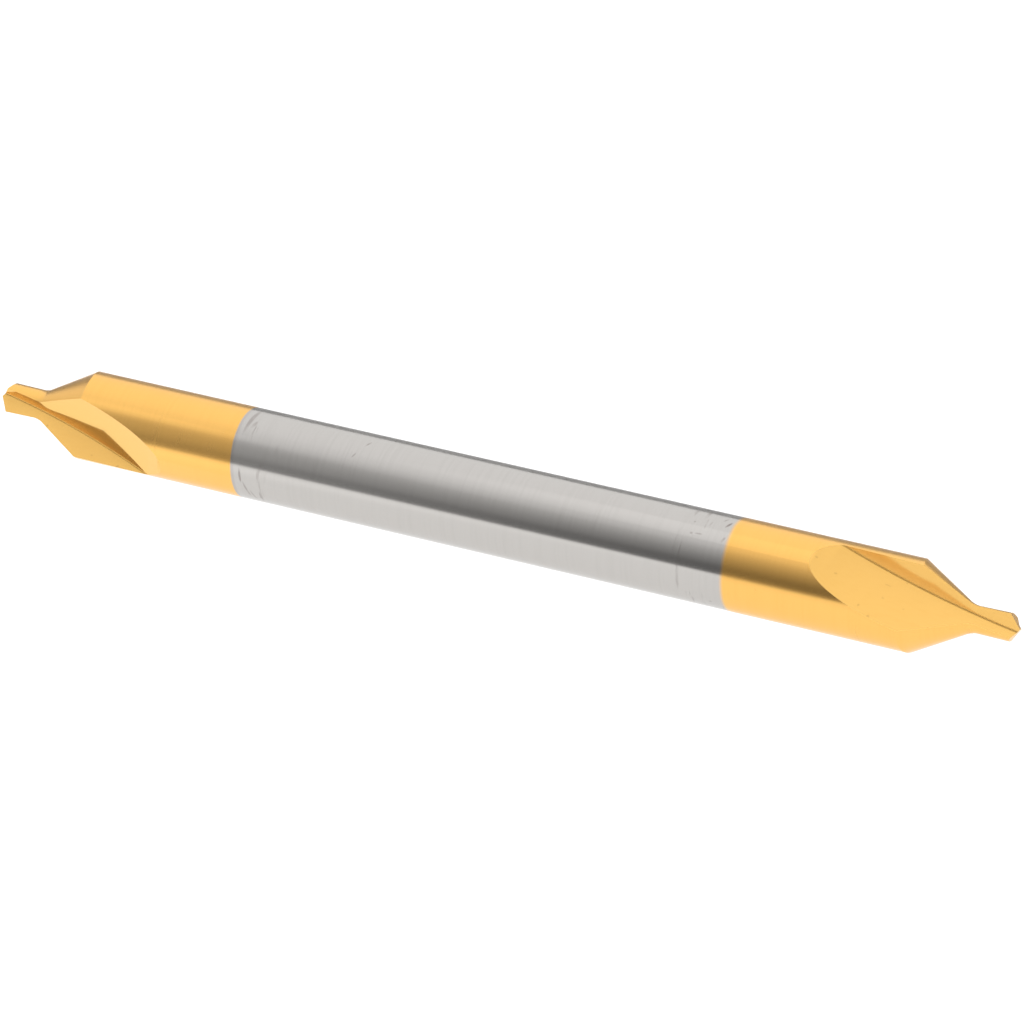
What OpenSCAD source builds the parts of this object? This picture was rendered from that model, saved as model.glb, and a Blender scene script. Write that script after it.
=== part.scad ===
// Double-ended centre drill, ground from one round bar of high-speed steel.
// Each end has a short pilot drill and a countersink, with two straight flutes and a gold coating.
// The axis lies along X with the origin at the middle of the body. Lengths are in millimetres.

/* [Body] */
// Diameter of the ground body
body_d = 3.175; // [2.6:0.025:4.5]
// Length over both points
overall_length = 38.1; // [30:0.1:60]

/* [Pilot] */
// Diameter of the pilot across its lips
pilot_d = 1.19; // [0.9:0.01:1.6]
// Length of the pilot from the chisel edge to the countersink
pilot_length = 1.62; // [1.2:0.02:2.4]
// Back taper on each side of the pilot, in degrees
pilot_taper = 0.8; // [0.2:0.1:2]
// Included angle of the point, in degrees
point_angle = 118; // [100:1:140]
// Clearance behind each lip of the point, in degrees
lip_clearance = 16; // [8:1:22]

/* [Countersink] */
// Included angle of the countersink, in degrees
countersink_angle = 60; // [50:1:90]
// Radius in the corner between pilot and countersink
corner_r = 0.7; // [0.2:0.05:1]
// Eccentric relief: how far the ground centre of each land lies ahead of the true axis
relief = 0.22; // [0.08:0.01:0.28]

/* [Flutes] */
// Thickness of the web between the two rake faces
web = 0.18; // [0.12:0.01:0.32]
// Lean of each rake face, towards and past the axis with depth, in degrees
rake_lean = 2.4; // [0:0.1:4]
// Angle between the rake face and the heel face, in degrees
flute_angle = 115; // [105:1:130]
// Radius of the arc that each flute follows out of the body
flute_arc_r = 33.5; // [26:0.5:42]
// Distance from the point to the deepest place of that arc, ahead of the tool
flute_lead = 5.4; // [4.5:0.1:6.3]
// How far the root of the flute passes the axis at its deepest place
flute_overcut = 0.53; // [0.4:0.01:0.7]
// Radius in the root of the flute
root_r = 0.07; // [0.05:0.01:0.2]
// Turn of the lips from upright at the left end, counter-clockwise seen from that point, in degrees
left_clock = 47.4; // [-90:0.2:90]
// Turn of the lips from upright at the right end, counter-clockwise seen from that point, in degrees
right_clock = 2.8; // [-90:0.2:90]

/* [Hidden] */
$fn = 128;
coating_colour = "goldenrod";
steel_colour = "silver";

body_r = body_d / 2;
half_web = web / 2;
point_half = point_angle / 2;
sink_half = countersink_angle / 2;

// Bar left beyond each point until the flanks are ground
stock = pilot_d / 2;

// Radius of a lip on the rake face, measured from the ground centre of its land
function land_r(r) = norm([sqrt(r * r - half_web * half_web), half_web - relief]);

// Profile of one land: pilot, corner and countersink, which flares past the body
pilot_tip_r = land_r(pilot_d / 2);
pilot_base_r = pilot_tip_r - pilot_length * tan(pilot_taper);
flare_r = body_r + 2 * relief;
flare_length = pilot_length + (flare_r - pilot_base_r) / tan(sink_half);
corner = [pilot_base_r, -pilot_length];
pilot_dir = [sin(pilot_taper), cos(pilot_taper)];
pilot_out = [cos(pilot_taper), -sin(pilot_taper)];
sink_dir = [sin(sink_half), -cos(sink_half)];
corner_run = corner_r * tan((sink_half + pilot_taper) / 2);
corner_centre = corner + corner_run * pilot_dir + corner_r * pilot_out;

// Each flute is the path of a wheel with a flat side on the rake face and a conical side on the heel face
heel_dir = [-cos(flute_angle), sin(flute_angle)];
wheel_w = body_d;
wheel_flare = wheel_w * heel_dir.x / heel_dir.y;
root_run = root_r / tan(flute_angle / 2);
root_centre = [flute_arc_r - root_run, root_r];

// Puts what is drawn with its point at the origin and its axis along Z at an end of the body
module at_end(turn, clock) {
    rotate([0, 0, turn])
        translate([-overall_length / 2, 0, 0])
            rotate([0, -90, 0])
                rotate([0, 0, clock])
                    children();
}

module at_both_ends() {
    at_end(0, left_clock) children();
    at_end(180, right_clock) children();
}

module on_both_sides() {
    for (turn = [0, 180])
        rotate([0, 0, turn]) children();
}

module land_profile() {
    difference() {
        polygon([
            [0, 3 * stock],
            corner + (pilot_length + 3 * stock) / pilot_dir.y * pilot_dir,
            corner + corner_run * pilot_dir,
            corner_centre,
            corner + corner_run * sink_dir,
            corner + 2 * flare_length / -sink_dir.y * sink_dir,
            [0, -pilot_length - 2 * flare_length]
        ]);
        translate(corner_centre) circle(r = corner_r);
    }
}

// What is turned away about the ground centre of one land, on that land's side of the flutes
module turned_waste() {
    difference() {
        rotate([0, 0, flute_angle / 2])
            translate([-body_d, -body_d, -flare_length])
                cube([2 * body_d, body_d + half_web, flare_length + 2 * stock]);
        translate([0, relief, 0])
            rotate_extrude() land_profile();
    }
}

// What is ground away above the flank of one lip, down to the chisel edge
module flank_waste() {
    lip = [sin(point_half), 0, -cos(point_half)];
    rotate(a = lip_clearance, v = lip)
        rotate([0, 90 - point_half, 0])
            translate([-pilot_d, -pilot_d, 0])
                cube([2 * pilot_d, 2 * pilot_d, pilot_d]);
}

module wheel_profile() {
    polygon([
        [0, 0],
        [flute_arc_r - root_run, 0],
        root_centre,
        [flute_arc_r, 0] + root_run * heel_dir,
        [flute_arc_r + wheel_flare, wheel_w],
        [0, wheel_w]
    ]);
    translate(root_centre) circle(r = root_r);
}

// What the wheel grinds away for one flute
module flute_waste() {
    translate([0, half_web, 0])
        rotate([-rake_lean, 0, 0])
            translate([flute_arc_r - flute_overcut, 0, flute_lead])
                rotate([-90, 0, 0])
                    rotate_extrude() wheel_profile();
}

// The bar with both pilots and countersinks turned on it
module turned_bar() {
    difference() {
        color(steel_colour)
            rotate([90, 0, 90])
                cylinder(d = body_d, h = overall_length + 2 * stock, center = true);
        color(coating_colour) at_both_ends() on_both_sides() turned_waste();
    }
}

// The turned bar with its four flutes
module fluted_bar() {
    difference() {
        turned_bar();
        color(coating_colour) at_both_ends() on_both_sides() flute_waste();
    }
}

module centre_drill() {
    difference() {
        fluted_bar();
        color(coating_colour) at_both_ends() on_both_sides() flank_waste();
    }
}

centre_drill();
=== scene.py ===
import math

import bmesh
import bpy
from mathutils import Matrix, Vector


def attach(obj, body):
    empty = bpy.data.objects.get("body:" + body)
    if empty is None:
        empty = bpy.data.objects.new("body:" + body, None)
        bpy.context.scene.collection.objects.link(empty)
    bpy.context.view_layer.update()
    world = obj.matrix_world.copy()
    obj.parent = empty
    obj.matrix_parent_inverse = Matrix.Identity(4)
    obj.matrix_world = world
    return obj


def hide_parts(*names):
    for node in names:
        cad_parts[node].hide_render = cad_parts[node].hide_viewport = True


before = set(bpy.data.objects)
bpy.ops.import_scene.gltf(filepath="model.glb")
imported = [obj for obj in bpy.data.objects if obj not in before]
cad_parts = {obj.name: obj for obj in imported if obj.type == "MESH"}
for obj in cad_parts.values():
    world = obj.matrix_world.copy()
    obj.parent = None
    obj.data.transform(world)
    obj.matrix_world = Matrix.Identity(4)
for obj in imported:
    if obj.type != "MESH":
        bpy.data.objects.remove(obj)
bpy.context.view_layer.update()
scene = bpy.context.scene
scene.view_settings.view_transform = "Standard"
mm = 0.001
rad = math.radians


# the tool, in millimetres and degrees: its point at the origin and its axis along Z until it is placed
tool = {
    "bodyD": 3.175,
    "length": 38.1,
    "pilotD": 1.19,
    "pilotLength": 1.62,
    "pilotTaper": 0.8,
    "pointAngle": 118,
    "lipClearance": 16,
    "sinkAngle": 60,
    "cornerR": 0.7,
    "relief": 0.22,
    "web": 0.18,
    "rakeLean": 2.4,
    "fluteAngle": 115,
    "fluteArcR": 33.5,
    "fluteLead": 5.4,
    "fluteOvercut": 0.53,
    "rootR": 0.07,
    "leftClock": 47.4,
    "rightClock": 2.8,
    "sharpAngle": 20,
    # how far the cutters reach: over the point, around a land, and the depth and turn of the wheel
    "wasteOver": 1,
    "wasteStart": 75,
    "wasteSweep": 185,
    "wheelDepth": 6,
    "wheelStart": 7,
    "wheelEnd": 25,
    # steps of the round forms
    "bodySteps": 384,
    "landSteps": 240,
    "cornerSteps": 14,
    "fluteSteps": 90,
    "rootSteps": 8,
    # how close counts as the same point, as welded, and as lying on the wheel's flat side
    "samePoint": 1e-6,
    "weld": 1e-5,
    "onFlat": 1e-4,
}


# the finish of the body, the flutes and their roots; every cutter carries all three, so a cut keeps its own
finishes = [bpy.data.materials.new(name) for name in ("coatedBody", "coatedFlutes", "coatedRoots")]
bodySlot, fluteSlot, rootSlot = range(len(finishes))


def allOf(bm):
    return bm.verts[:] + bm.edges[:] + bm.faces[:]


def newProfile(points):
    bm = bmesh.new()
    verts = [bm.verts.new(p) for p in points]
    bm.faces.new(verts)
    return bm, verts


def roundCorner(bm, vert, run, segments):
    bmesh.ops.bevel(bm, geom=[vert], offset=run, offset_type="OFFSET", affect="VERTICES",
                    segments=segments, profile=0.5, material=-1)


def turnProfile(bm, centre, axis, angle, steps):
    bmesh.ops.spin(bm, geom=allOf(bm), cent=centre, axis=axis, angle=angle, steps=steps)
    bmesh.ops.remove_doubles(bm, verts=bm.verts[:], dist=tool["samePoint"])
    bmesh.ops.holes_fill(bm, edges=[e for e in bm.edges if e.is_boundary], sides=0)
    bmesh.ops.recalc_face_normals(bm, faces=bm.faces[:])


def toObject(bm, name, place):
    bmesh.ops.transform(bm, matrix=place, verts=bm.verts[:])
    mesh = bpy.data.meshes.new(name)
    bm.to_mesh(mesh)
    bm.free()
    obj = bpy.data.objects.new(name, mesh)
    scene.collection.objects.link(obj)
    return obj


def toSteel(bm, name, place):
    obj = toObject(bm, name, place)
    for finish in finishes:
        obj.data.materials.append(finish)
    return obj


def endPlace(turn, clock):
    return (Matrix.Rotation(rad(turn), 4, "Z") @ Matrix.Translation((-tool["length"] / 2, 0, 0))
            @ Matrix.Rotation(rad(-90), 4, "Y") @ Matrix.Rotation(rad(clock), 4, "Z"))


# the two like sides of an end, half a turn apart
def bothSides(place):
    return [place @ Matrix.Rotation(rad(turn), 4, "Z") for turn in (0, 180)]


def makeBar():
    radius = tool["bodyD"] / 2
    bm = bmesh.new()
    bmesh.ops.create_cone(bm, cap_ends=True, segments=tool["bodySteps"], radius1=radius, radius2=radius,
                          depth=tool["length"])
    return toSteel(bm, "toolBar", Matrix.Rotation(rad(90), 4, "Y"))


# what is turned away outside one land, about its own centre ahead of the lip
def makeLandWaste(place):
    halfWeb = tool["web"] / 2
    sinkHalf = tool["sinkAngle"] / 2
    slope = math.tan(rad(tool["pilotTaper"]))
    tipR = math.hypot(math.sqrt((tool["pilotD"] / 2) ** 2 - halfWeb ** 2), halfWeb - tool["relief"])
    baseR = tipR - tool["pilotLength"] * slope
    flareR = tool["bodyD"] / 2 + 2 * tool["relief"]
    flareZ = -tool["pilotLength"] - (flareR - baseR) / math.tan(rad(sinkHalf))
    outR = 2 * tool["bodyD"]
    bm, verts = newProfile([
        (tipR + tool["wasteOver"] * slope, 0, tool["wasteOver"]),
        (outR, 0, tool["wasteOver"]),
        (outR, 0, flareZ),
        (flareR, 0, flareZ),
        (baseR, 0, -tool["pilotLength"]),
    ])
    run = tool["cornerR"] * math.tan(rad(sinkHalf + tool["pilotTaper"]) / 2)
    roundCorner(bm, verts[-1], run, tool["cornerSteps"])
    start = Matrix.Rotation(rad(tool["wasteStart"]), 3, "Z")
    bmesh.ops.rotate(bm, verts=bm.verts[:], cent=(0, 0, 0), matrix=start)
    centre = (0, tool["relief"], 0)
    bmesh.ops.translate(bm, verts=bm.verts[:], vec=centre)
    turnProfile(bm, centre, (0, 0, 1), rad(-tool["wasteSweep"]), tool["landSteps"])
    return toSteel(bm, "landWaste", place)


# the path of the wheel that grinds one flute, flat side on the rake face and conical side on the heel
def makeFluteWaste(place):
    rimX = -tool["fluteArcR"]
    innerX = rimX + tool["wheelDepth"]
    width = tool["bodyD"]
    flare = width / math.tan(rad(tool["fluteAngle"]))
    bm, verts = newProfile([
        (innerX, 0, 0),
        (rimX, 0, 0),
        (rimX + flare, width, 0),
        (innerX, width, 0),
    ])
    run = tool["rootR"] / math.tan(rad(tool["fluteAngle"] / 2))
    roundCorner(bm, verts[1], run, tool["rootSteps"])
    start = Matrix.Rotation(rad(-tool["wheelStart"]), 3, "Y")
    bmesh.ops.rotate(bm, verts=bm.verts[:], cent=(0, 0, 0), matrix=start)
    turnProfile(bm, (0, 0, 0), (0, 1, 0), rad(tool["wheelStart"] - tool["wheelEnd"]), tool["fluteSteps"])
    for face in bm.faces:
        inRoot = tool["onFlat"] < face.calc_center_median().y < tool["rootR"]
        face.material_index = rootSlot if inRoot else fluteSlot
    wheel = (Matrix.Translation((0, tool["web"] / 2, 0)) @ Matrix.Rotation(rad(-tool["rakeLean"]), 4, "X")
             @ Matrix.Translation((tool["fluteArcR"] - tool["fluteOvercut"], 0, tool["fluteLead"])))
    bmesh.ops.transform(bm, matrix=wheel, verts=bm.verts[:])
    return toSteel(bm, "fluteWaste", place)


def cutAway(obj, cutter):
    mod = obj.modifiers.new("cut", "BOOLEAN")
    mod.operation = "DIFFERENCE"
    mod.solver = "EXACT"
    mod.object = cutter
    bpy.context.view_layer.update()
    graph = bpy.context.evaluated_depsgraph_get()
    cut = bpy.data.meshes.new_from_object(obj.evaluated_get(graph))
    obj.modifiers.clear()
    obj.data = cut
    bpy.data.objects.remove(cutter)


# the two flanks of a point, each a flat through the chisel edge that falls away behind its lip
def grindFlanks(bm, place):
    half = rad(tool["pointAngle"] / 2)
    lip = Vector((math.sin(half), 0, -math.cos(half)))
    flat = Matrix.Rotation(rad(tool["lipClearance"]), 3, lip) @ Vector((math.cos(half), 0, math.sin(half)))
    for spot in bothSides(place):
        out = bmesh.ops.bisect_plane(bm, geom=allOf(bm), dist=tool["samePoint"], clear_outer=True,
                                     plane_co=spot.translation, plane_no=spot.to_3x3() @ flat)
        rim = [e for e in out["geom_cut"] if isinstance(e, bmesh.types.BMEdge)]
        bmesh.ops.edgeloop_fill(bm, edges=rim)


def makeDrill():
    bar = makeBar()
    places = [endPlace(0, tool["leftClock"]), endPlace(180, tool["rightClock"])]
    for place in places:
        for spot in bothSides(place):
            cutAway(bar, makeLandWaste(spot))
            cutAway(bar, makeFluteWaste(spot))
    bm = bmesh.new()
    bm.from_mesh(bar.data)
    bpy.data.objects.remove(bar)
    for place in places:
        grindFlanks(bm, place)
    bmesh.ops.remove_doubles(bm, verts=bm.verts[:], dist=tool["weld"])
    bmesh.ops.dissolve_degenerate(bm, edges=bm.edges[:], dist=tool["samePoint"])
    openEdges = [e for e in bm.edges if not e.is_manifold]
    print("open edges", len(openEdges), "volume", round(bm.calc_volume(), 2))
    for face in bm.faces:
        face.smooth = True
    obj = toSteel(bm, "centreDrill", Matrix.Scale(mm, 4))
    obj.data.set_sharp_from_angle(angle=rad(tool["sharpAngle"]))
    return obj


drill = makeDrill()
faceSlots = [face.material_index for face in drill.data.polygons]
print("faces by finish", [faceSlots.count(i) for i in range(len(finishes))])
print("drill", len(drill.data.vertices), "vertices", len(drill.data.polygons), "faces")


# helpers for wiring a material: a value is a number, or a socket where it varies over the surface
def addNode(tree, kind, **values):
    node = tree.nodes.new(kind)
    for key, value in values.items():
        setattr(node, key, value)
    return node


def feed(tree, socket, value):
    if isinstance(value, bpy.types.NodeSocket):
        tree.links.new(value, socket)
    else:
        socket.default_value = value


def calc(tree, operation, *terms):
    node = addNode(tree, "ShaderNodeMath", operation=operation)
    for socket, term in zip(node.inputs, terms):
        feed(tree, socket, term)
    return node.outputs[0]


def product(tree, first, *others):
    result = first
    for other in others:
        result = calc(tree, "MULTIPLY", result, other)
    return result


def mixLevel(tree, factor, a, b):
    return calc(tree, "MULTIPLY_ADD", factor, calc(tree, "SUBTRACT", b, a), a)


# the mix node has sockets for every kind of value: these are its factor and its colours
def mixColour(tree, factor, a, b):
    node = addNode(tree, "ShaderNodeMix", data_type="RGBA", clamp_factor=True)
    for index, value in ((0, factor), (6, a), (7, b)):
        feed(tree, node.inputs[index], value)
    return node.outputs[2]


def remap(tree, value, low, high, toLow=0, toHigh=1):
    node = addNode(tree, "ShaderNodeMapRange", interpolation_type="SMOOTHSTEP")
    ends = {"Value": value, "From Min": low, "From Max": high, "To Min": toLow, "To Max": toHigh}
    for name, end in ends.items():
        feed(tree, node.inputs[name], end)
    return node.outputs["Result"]


# the scale is in waves per metre along each axis
def stretchedNoise(tree, coords, scale, detail, rough=0.6, turn=(0, 0, 0)):
    mapping = addNode(tree, "ShaderNodeMapping")
    feed(tree, mapping.inputs["Vector"], coords)
    feed(tree, mapping.inputs["Scale"], scale)
    feed(tree, mapping.inputs["Rotation"], turn)
    noise = addNode(tree, "ShaderNodeTexNoise")
    feed(tree, noise.inputs["Vector"], mapping.outputs["Vector"])
    feed(tree, noise.inputs["Scale"], 1)
    feed(tree, noise.inputs["Detail"], detail)
    feed(tree, noise.inputs["Roughness"], rough)
    return noise.outputs["Fac"]


def objectCoords(tree):
    return addNode(tree, "ShaderNodeTexCoord").outputs["Object"]


def splitAxes(tree, vector):
    node = addNode(tree, "ShaderNodeSeparateXYZ")
    tree.links.new(vector, node.inputs[0])
    return node.outputs["X"], node.outputs["Y"], node.outputs["Z"]


def startMetal(material, metallic):
    material.use_nodes = True
    tree = material.node_tree
    bsdf = tree.nodes["Principled BSDF"]
    feed(tree, bsdf.inputs["Metallic"], metallic)
    return tree, bsdf, objectCoords(tree)


# lengths in millimetres; levels say where on a noise a mark starts and is full, then its strength at both
bodyLook = {
    "metallic": 1,
    "edgeTint": (0.86, 0.86, 0.86, 1),
    "steel": (0.437, 0.421, 0.403, 1),
    "steelLine": (0.424, 0.408, 0.39, 1),
    "smudge": (0.2, 0.17, 0.158, 1),
    "gold": (0.78, 0.446, 0.124, 1),
    "goldLine": (0.765, 0.434, 0.117, 1),
    "coatStart": (9.15, 9.13),  # at the left end and the right end, like the next two
    "coatFade": (0.035, 0.1),
    "coatRing": (0.2, 0),
    "ringReach": (0.16, 0.04),  # how far before the coating the ring starts and is full
    "coatTilt": 0.06,
    "coatWobble": 0.05,
    "wobble": {"scale": (900, 900, 900), "detail": 3},
    "lines": {"scale": (17000, 260, 260), "detail": 4},
    "lineLevels": (0.42, 0.68),
    "rubs": {"scale": (4200, 620, 620), "detail": 3, "rough": 0.55, "turn": (0, 0, 0.05)},
    "rubLevels": (0.60, 0.72),
    "rubReach": (6.6, 8.9),  # from the middle of the tool
    "rubMiddle": 0.06,
    "rubNearCoat": 0.81,
    "patches": {"scale": (420, 420, 420), "detail": 1},
    "patchLevels": (0.44, 0.62),
    "roughness": 0.165,
    "coatRoughness": 0.06,
    "rubRoughness": 0.15,
    "bump": 0.03,
    "bumpHeight": 0.002,
    "strokeNoise": {"scale": (5000, 2500, 2500), "detail": 2},
    "strokeLevels": (0.3, 0.6, 0.35, 1),
    # place along, place around, reach along, reach around, lean and strength of each rub mark on the steel
    "strokes": [
        (-8.90, 78, 0.10, 30, 0.07, 0.5),
        (-8.70, 69, 0.08, 8, 0.05, 0.45),
        (-8.80, -1, 0.06, 12, -0.03, 0.8),
        (-8.60, -22, 0.06, 16, -0.12, 0.55),
        (-8.38, -32, 0.05, 14, -0.12, 0.4),
        (-4.45, 80, 0.04, 5, 0.07, 0.75),
        (-4.75, 58, 0.04, 5, 0.05, 0.45),
        (8.84, 81, 0.06, 7, 0.09, 0.95),
        (8.66, 89, 0.05, 5, 0.06, 0.6),
        (8.88, 57, 0.06, 5, 0.05, 0.5),
        (8.25, 76, 0.04, 5, 0.02, 0.4),
        (8.0, 58, 0.16, 1.6, 0.03, 0.5),
        (7.75, 57, 0.06, 2, 0, 0.5),
        (7.7, 74, 0.04, 1.5, 0, 0.55),
        (8.7, -30, 0.08, 2, 0, 0.4),
    ],
}


# the edge of the coating at one end, and the faint grey ring on the steel beside it
def coatEdge(tree, reach, end):
    start = bodyLook["coatStart"][end] * mm
    fade = bodyLook["coatFade"][end] * mm
    ringStart, ringFull = [start - before * mm for before in bodyLook["ringReach"]]
    coat = remap(tree, reach, start - fade, start + fade)
    ring = remap(tree, reach, ringStart, ringFull, 0, bodyLook["coatRing"][end])
    return coat, ring


# the coating and its ring over the whole body, each edge a little uneven and tilted
def coatMasks(tree, coords, x, z):
    wobbleSize = bodyLook["coatWobble"] * mm
    wobbleNoise = stretchedNoise(tree, coords, **bodyLook["wobble"])
    wobble = calc(tree, "MULTIPLY_ADD", wobbleNoise, wobbleSize, -wobbleSize / 2)
    right = calc(tree, "GREATER_THAN", x, 0)
    tilt = calc(tree, "MULTIPLY", z, mixLevel(tree, right, -bodyLook["coatTilt"], bodyLook["coatTilt"]))
    reach = calc(tree, "ADD", calc(tree, "ABSOLUTE", x), calc(tree, "ADD", wobble, tilt))
    leftCoat, leftRing = coatEdge(tree, reach, 0)
    rightCoat, rightRing = coatEdge(tree, reach, 1)
    return mixLevel(tree, right, leftCoat, rightCoat), mixLevel(tree, right, leftRing, rightRing)


# short rub marks, each a soft spot stretched around the body
def strokeMask(tree, coords, x, y, z):
    around = calc(tree, "ARCTAN2", z, calc(tree, "MULTIPLY", y, -1))
    marks = 0
    for along, turn, width, length, lean, strength in bodyLook["strokes"]:
        across = calc(tree, "MULTIPLY_ADD", around, 1 / rad(length), -turn / length)
        slid = calc(tree, "MULTIPLY_ADD", across, -lean * mm, x)
        aside = calc(tree, "MULTIPLY_ADD", slid, 1 / (width * mm), -along / width)
        far = calc(tree, "MULTIPLY_ADD", aside, aside, calc(tree, "MULTIPLY", across, across))
        marks = calc(tree, "MAXIMUM", marks, remap(tree, far, 1, 0, 0, strength))
    uneven = remap(tree, stretchedNoise(tree, coords, **bodyLook["strokeNoise"]), *bodyLook["strokeLevels"])
    return product(tree, marks, uneven)


# finer rubs in patches, faint in the middle of the steel and stronger towards the coating
def rubbedMask(tree, coords, x):
    rubs = remap(tree, stretchedNoise(tree, coords, **bodyLook["rubs"]), *bodyLook["rubLevels"])
    patches = remap(tree, stretchedNoise(tree, coords, **bodyLook["patches"]), *bodyLook["patchLevels"])
    along = calc(tree, "ABSOLUTE", x)
    faint, full = [reach * mm for reach in bodyLook["rubReach"]]
    strength = remap(tree, along, faint, full, bodyLook["rubMiddle"], bodyLook["rubNearCoat"])
    return product(tree, rubs, patches, strength)


# the ground body: bare steel in the middle and coated towards both points
def bodyFinish(finish):
    tree, bsdf, coords = startMetal(finish, bodyLook["metallic"])
    feed(tree, bsdf.inputs["Specular Tint"], bodyLook["edgeTint"])
    x, y, z = splitAxes(tree, coords)
    coat, ring = coatMasks(tree, coords, x, z)
    rubbed = rubbedMask(tree, coords, x)
    lines = stretchedNoise(tree, coords, **bodyLook["lines"])
    lineMask = remap(tree, lines, *bodyLook["lineLevels"])
    gold = mixColour(tree, lineMask, bodyLook["gold"], bodyLook["goldLine"])
    steel = mixColour(tree, lineMask, bodyLook["steel"], bodyLook["steelLine"])
    for mask in (rubbed, ring, strokeMask(tree, coords, x, y, z)):
        steel = mixColour(tree, mask, steel, bodyLook["smudge"])
    feed(tree, bsdf.inputs["Base Color"], mixColour(tree, coat, steel, gold))
    rough = calc(tree, "MULTIPLY_ADD", coat, bodyLook["coatRoughness"], bodyLook["roughness"])
    rough = calc(tree, "MULTIPLY_ADD", rubbed, bodyLook["rubRoughness"], rough)
    feed(tree, bsdf.inputs["Roughness"], rough)
    bump = addNode(tree, "ShaderNodeBump")
    feed(tree, bump.inputs["Strength"], bodyLook["bump"])
    feed(tree, bump.inputs["Distance"], bodyLook["bumpHeight"] * mm)
    feed(tree, bump.inputs["Height"], lines)
    feed(tree, bsdf.inputs["Normal"], bump.outputs["Normal"])


fluteLook = {
    "metallic": 0.72,
    "gold": (0.8, 0.474, 0.124, 1),
    "goldLine": (0.79, 0.464, 0.119, 1),
    "speck": (0.43, 0.26, 0.07, 1),
    "lines": {"scale": (900, 9000, 9000), "detail": 3},
    "lineLevels": (0.4, 0.7),
    "specks": {"scale": (3300, 3300, 3300), "detail": 1},
    "speckLevels": (0.73, 0.79, 0, 0.5),
    "roughness": 0.07,
    "rootRoughness": 0.45,
    "lineRoughness": 0.02,
}


# the ground flutes, smoother than the body, and their duller roots, with faint wheel marks along them
def fluteFinish(finish, roughness):
    tree, bsdf, coords = startMetal(finish, fluteLook["metallic"])
    lines = stretchedNoise(tree, coords, **fluteLook["lines"])
    lineMask = remap(tree, lines, *fluteLook["lineLevels"])
    specks = remap(tree, stretchedNoise(tree, coords, **fluteLook["specks"]), *fluteLook["speckLevels"])
    gold = mixColour(tree, lineMask, fluteLook["gold"], fluteLook["goldLine"])
    feed(tree, bsdf.inputs["Base Color"], mixColour(tree, specks, gold, fluteLook["speck"]))
    rough = calc(tree, "MULTIPLY_ADD", lines, fluteLook["lineRoughness"], roughness)
    feed(tree, bsdf.inputs["Roughness"], rough)


bodyFinish(finishes[bodySlot])
fluteFinish(finishes[fluteSlot], fluteLook["roughness"])
fluteFinish(finishes[rootSlot], fluteLook["rootRoughness"])
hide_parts("centre_drill")
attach(drill, "root")
print("finishes on", [slot.name for slot in drill.data.materials])


# a flat sheet of the stage, in millimetres
def makeSheet(name, halfX, halfY, turn, centre):
    bm = bmesh.new()
    bmesh.ops.create_grid(bm, x_segments=1, y_segments=1, size=1)
    size = Matrix.Diagonal((halfX, halfY, 1, 1))
    return toObject(bm, name, Matrix.Scale(mm, 4) @ Matrix.Translation(centre) @ turn @ size)


def mattePaper(name):
    paper = bpy.data.materials.new(name)
    paper.use_nodes = True
    tree = paper.node_tree
    shader = tree.nodes["Principled BSDF"]
    feed(tree, shader.inputs["Roughness"], 1)
    feed(tree, shader.inputs["Specular IOR Level"], 0)
    return paper, tree, shader


# adds a glow of this strength to what a surface shows
def addGlow(tree, shader, strength):
    glow = addNode(tree, "ShaderNodeEmission")
    feed(tree, glow.inputs["Strength"], strength)
    both = addNode(tree, "ShaderNodeAddShader")
    tree.links.new(shader.outputs[0], both.inputs[0])
    tree.links.new(glow.outputs[0], both.inputs[1])
    tree.links.new(both.outputs[0], tree.nodes["Material Output"].inputs["Surface"])


# leaves a sheet to show in reflections, without casting light or shadow
def onlyMirrored(obj):
    obj.visible_camera = False
    obj.visible_diffuse = False
    obj.visible_shadow = False


# lengths in millimetres; the ranges run along X, to the left of the tool
floorLook = {
    "height": -20,
    "front": -480,
    "back": 1500,
    "half": 1500,
    "paper": (0.85, 0.85, 0.85, 1),
    # painted shade: the paper's colour far to the left, which darkens what the tool reflects there
    "paintedShadeFar": (0.15, 0.15, 0.15, 1),
    "glowSeen": 0.3,
    "glowMirrored": 0.5,
    # painted light: a stronger glow to the left of the tool, seen only in reflections
    "glowLeft": 0.67,
    "leftRange": (-22, -38),
    "fadeRange": (-60, -130),
    "fadeFar": 0.22,
}


# white paper: it glows only where the camera or a reflection looks at it; the glow seen in reflections is
# painted light, brighter to the left of the tool, and far to the left glow and paper colour fade into
# painted shade
def makeFloor():
    front, back = floorLook["front"], floorLook["back"]
    centre = (0, (front + back) / 2, floorLook["height"])
    floor = makeSheet("floor", floorLook["half"], (back - front) / 2, Matrix.Identity(4), centre)
    paper, tree, shader = mattePaper("whitePaper")
    x = splitAxes(tree, objectCoords(tree))[0]
    leftStart, leftFull = [place * mm for place in floorLook["leftRange"]]
    fadeStart, fadeEnd = [place * mm for place in floorLook["fadeRange"]]
    # painted light and shade for reflections: the glow rises to the left, then glow and paper colour fade
    # far to the left
    level = remap(tree, x, leftStart, leftFull, floorLook["glowMirrored"], floorLook["glowLeft"])
    fade = remap(tree, x, fadeStart, fadeEnd, 1, floorLook["fadeFar"])
    colour = mixColour(tree, fade, floorLook["paintedShadeFar"], floorLook["paper"])
    feed(tree, shader.inputs["Base Color"], colour)
    path = addNode(tree, "ShaderNodeLightPath")
    seen = product(tree, path.outputs["Is Camera Ray"], floorLook["glowSeen"])
    mirrored = calc(tree, "MAXIMUM", path.outputs["Is Glossy Ray"], path.outputs["Is Transmission Ray"])
    addGlow(tree, shader, calc(tree, "MULTIPLY_ADD", mirrored, product(tree, level, fade), seen))
    floor.data.materials.append(paper)


cardLook = {"distance": 70, "top": 21, "half": 150, "colour": (0.86, 0.86, 0.86, 1)}


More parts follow.
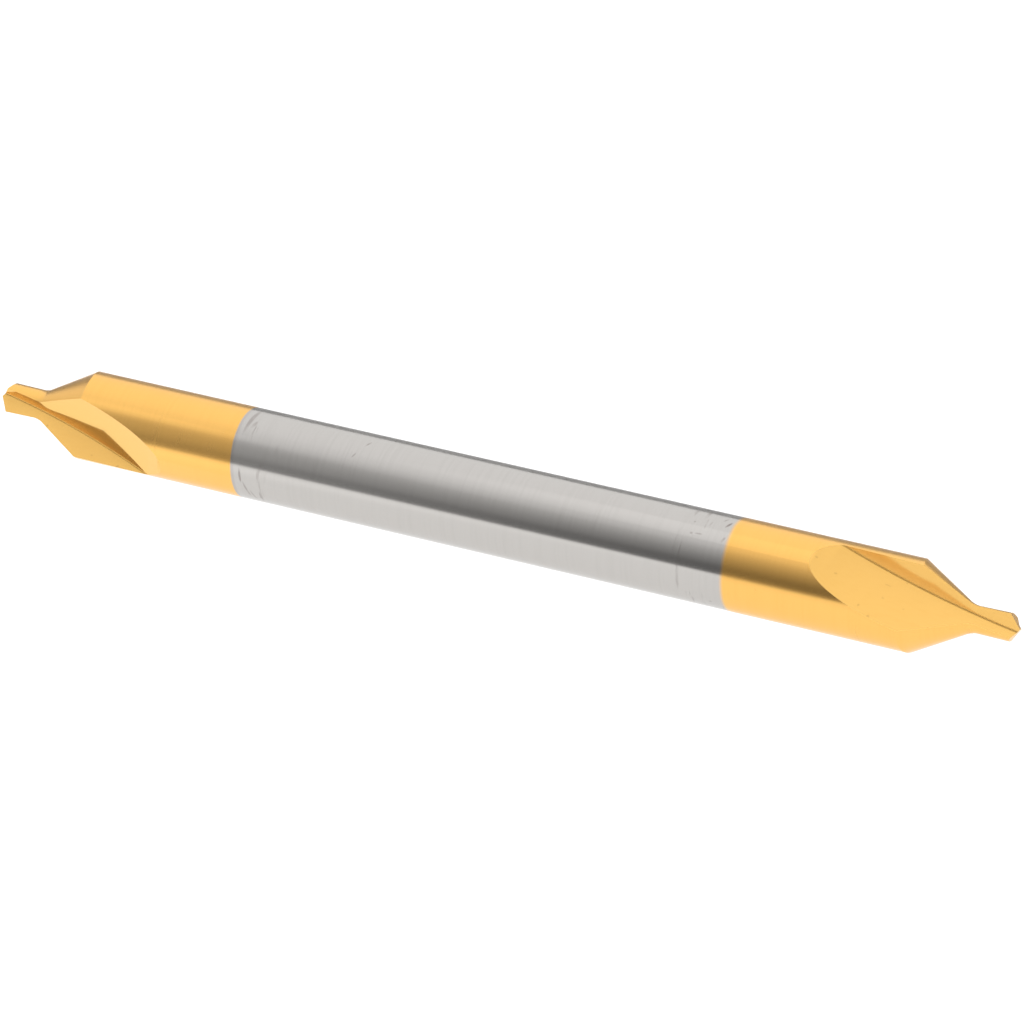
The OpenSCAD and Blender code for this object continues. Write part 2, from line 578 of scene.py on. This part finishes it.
# a card behind the tool, its front in the dim light from the camera's side and seen only in reflections:
# it draws the thin dark line along the tool's top edge
def makeCard():
    low, high = floorLook["height"], cardLook["top"]
    upright = Matrix.Rotation(rad(90), 4, "X")
    centre = (0, cardLook["distance"], (low + high) / 2)
    card = makeSheet("darkCard", cardLook["half"], (high - low) / 2, upright, centre)
    paper, tree, shader = mattePaper("cardPaper")
    feed(tree, shader.inputs["Base Color"], cardLook["colour"])
    card.data.materials.append(paper)
    onlyMirrored(card)


veilLook = {
    "place": (-27.2, -12.8, 24.7),
    "towards": (0.372, 0.428, -0.822),
    "full": 2,  # the glow is even this far from the middle and then fades to its end
    "end": 8,
    "glow": 0.27,
}


# a faint glow above the left end, seen only in reflections: it lifts the rake face there
def makeVeil():
    facing = Vector(veilLook["towards"]).to_track_quat("Z", "Y").to_matrix().to_4x4()
    veil = makeSheet("veil", veilLook["end"], veilLook["end"], facing, veilLook["place"])
    cloth = bpy.data.materials.new("veilCloth")
    cloth.use_nodes = True
    tree = cloth.node_tree
    tree.nodes.remove(tree.nodes["Principled BSDF"])
    away = addNode(tree, "ShaderNodeVectorMath", operation="DISTANCE")
    feed(tree, away.inputs[0], objectCoords(tree))
    feed(tree, away.inputs[1], Vector(veilLook["place"]) * mm)
    end, full = veilLook["end"] * mm, veilLook["full"] * mm
    strength = remap(tree, away.outputs["Value"], end, full, 0, veilLook["glow"])
    addGlow(tree, addNode(tree, "ShaderNodeBsdfTransparent"), strength)
    veil.data.materials.append(cloth)
    onlyMirrored(veil)


makeFloor()
makeCard()
makeVeil()


# degrees and millimetres; the shifts are shares of the picture's width
shot = {
    "azimuth": 25.16,
    "elevation": 29.32,
    "distance": 164.8,
    "lens": 170.5,
    "sensor": 36,
    "shiftX": 0.0209,
    "shiftY": -0.0044,
    "clipStart": 5,
}


def makeCamera():
    az, el = rad(shot["azimuth"]), rad(shot["elevation"])
    towards = Vector((math.cos(el) * math.sin(az), -math.cos(el) * math.cos(az), math.sin(el)))
    data = bpy.data.cameras.new("camera")
    data.sensor_width = shot["sensor"]
    data.lens = shot["lens"]
    data.shift_x = shot["shiftX"]
    data.shift_y = shot["shiftY"]
    data.clip_start = shot["clipStart"] * mm
    cam = bpy.data.objects.new("camera", data)
    cam.location = towards * shot["distance"] * mm
    cam.rotation_euler = (-towards).to_track_quat("-Z", "Y").to_euler()
    scene.collection.objects.link(cam)
    scene.camera = cam


makeCamera()


# directions are parts of a unit vector; the steps, from the dim side to the bright, are places and levels
roomLook = {
    "strength": 1.28,
    "axis": (-0.2, 0.643, 0.766),
    "spread": 0.425,
    "middle": 0.5,
    "steps": [(0.13, 0.125), (0.352, 0.125), (0.385, 0.18), (0.465, 0.31), (0.605, 0.60), (0.672, 0.79),
              (0.727, 0.90), (0.835, 1.05), (0.911, 1.09)],
    "fill": 0.40,
    "fillInner": (-0.30, -0.52),
    "fillOuter": (-0.64, -0.54),
    "fillLow": (0.75, 0.3),
    "fillFront": (-0.2, -0.6),
    "zenith": 0.12,
    "zenithRange": (0.955, 0.99),
}


# soft studio light: bright above and behind, dim towards the camera and less so to its left
def makeRoom():
    world = bpy.data.worlds.new("studio")
    world.use_nodes = True
    tree = world.node_tree
    coords = addNode(tree, "ShaderNodeTexCoord").outputs["Generated"]
    dot = addNode(tree, "ShaderNodeVectorMath", operation="DOT_PRODUCT")
    feed(tree, dot.inputs[0], coords)
    feed(tree, dot.inputs[1], roomLook["axis"])
    place = calc(tree, "MULTIPLY_ADD", dot.outputs["Value"], roomLook["spread"], roomLook["middle"])
    ramp = addNode(tree, "ShaderNodeValToRGB")
    points = ramp.color_ramp.elements
    while len(points) < len(roomLook["steps"]):
        points.new(roomLook["middle"])
    for point, (position, level) in zip(points, roomLook["steps"]):
        point.position = position
        point.color = (level, level, level, 1)
    feed(tree, ramp.inputs["Fac"], place)
    x, y, z = splitAxes(tree, coords)
    fill = roomLook["fill"]
    for axis, edge in ((x, "fillInner"), (x, "fillOuter"), (z, "fillLow"), (y, "fillFront")):
        fill = product(tree, fill, remap(tree, axis, *roomLook[edge]))
    zenith = remap(tree, z, *roomLook["zenithRange"], 0, roomLook["zenith"])
    level = calc(tree, "ADD", calc(tree, "ADD", ramp.outputs["Color"], fill), zenith)
    feed(tree, tree.nodes["Background"].inputs["Color"], level)
    feed(tree, tree.nodes["Background"].inputs["Strength"], roomLook["strength"])
    scene.world = world


makeRoom()
print("stage, camera and room made")
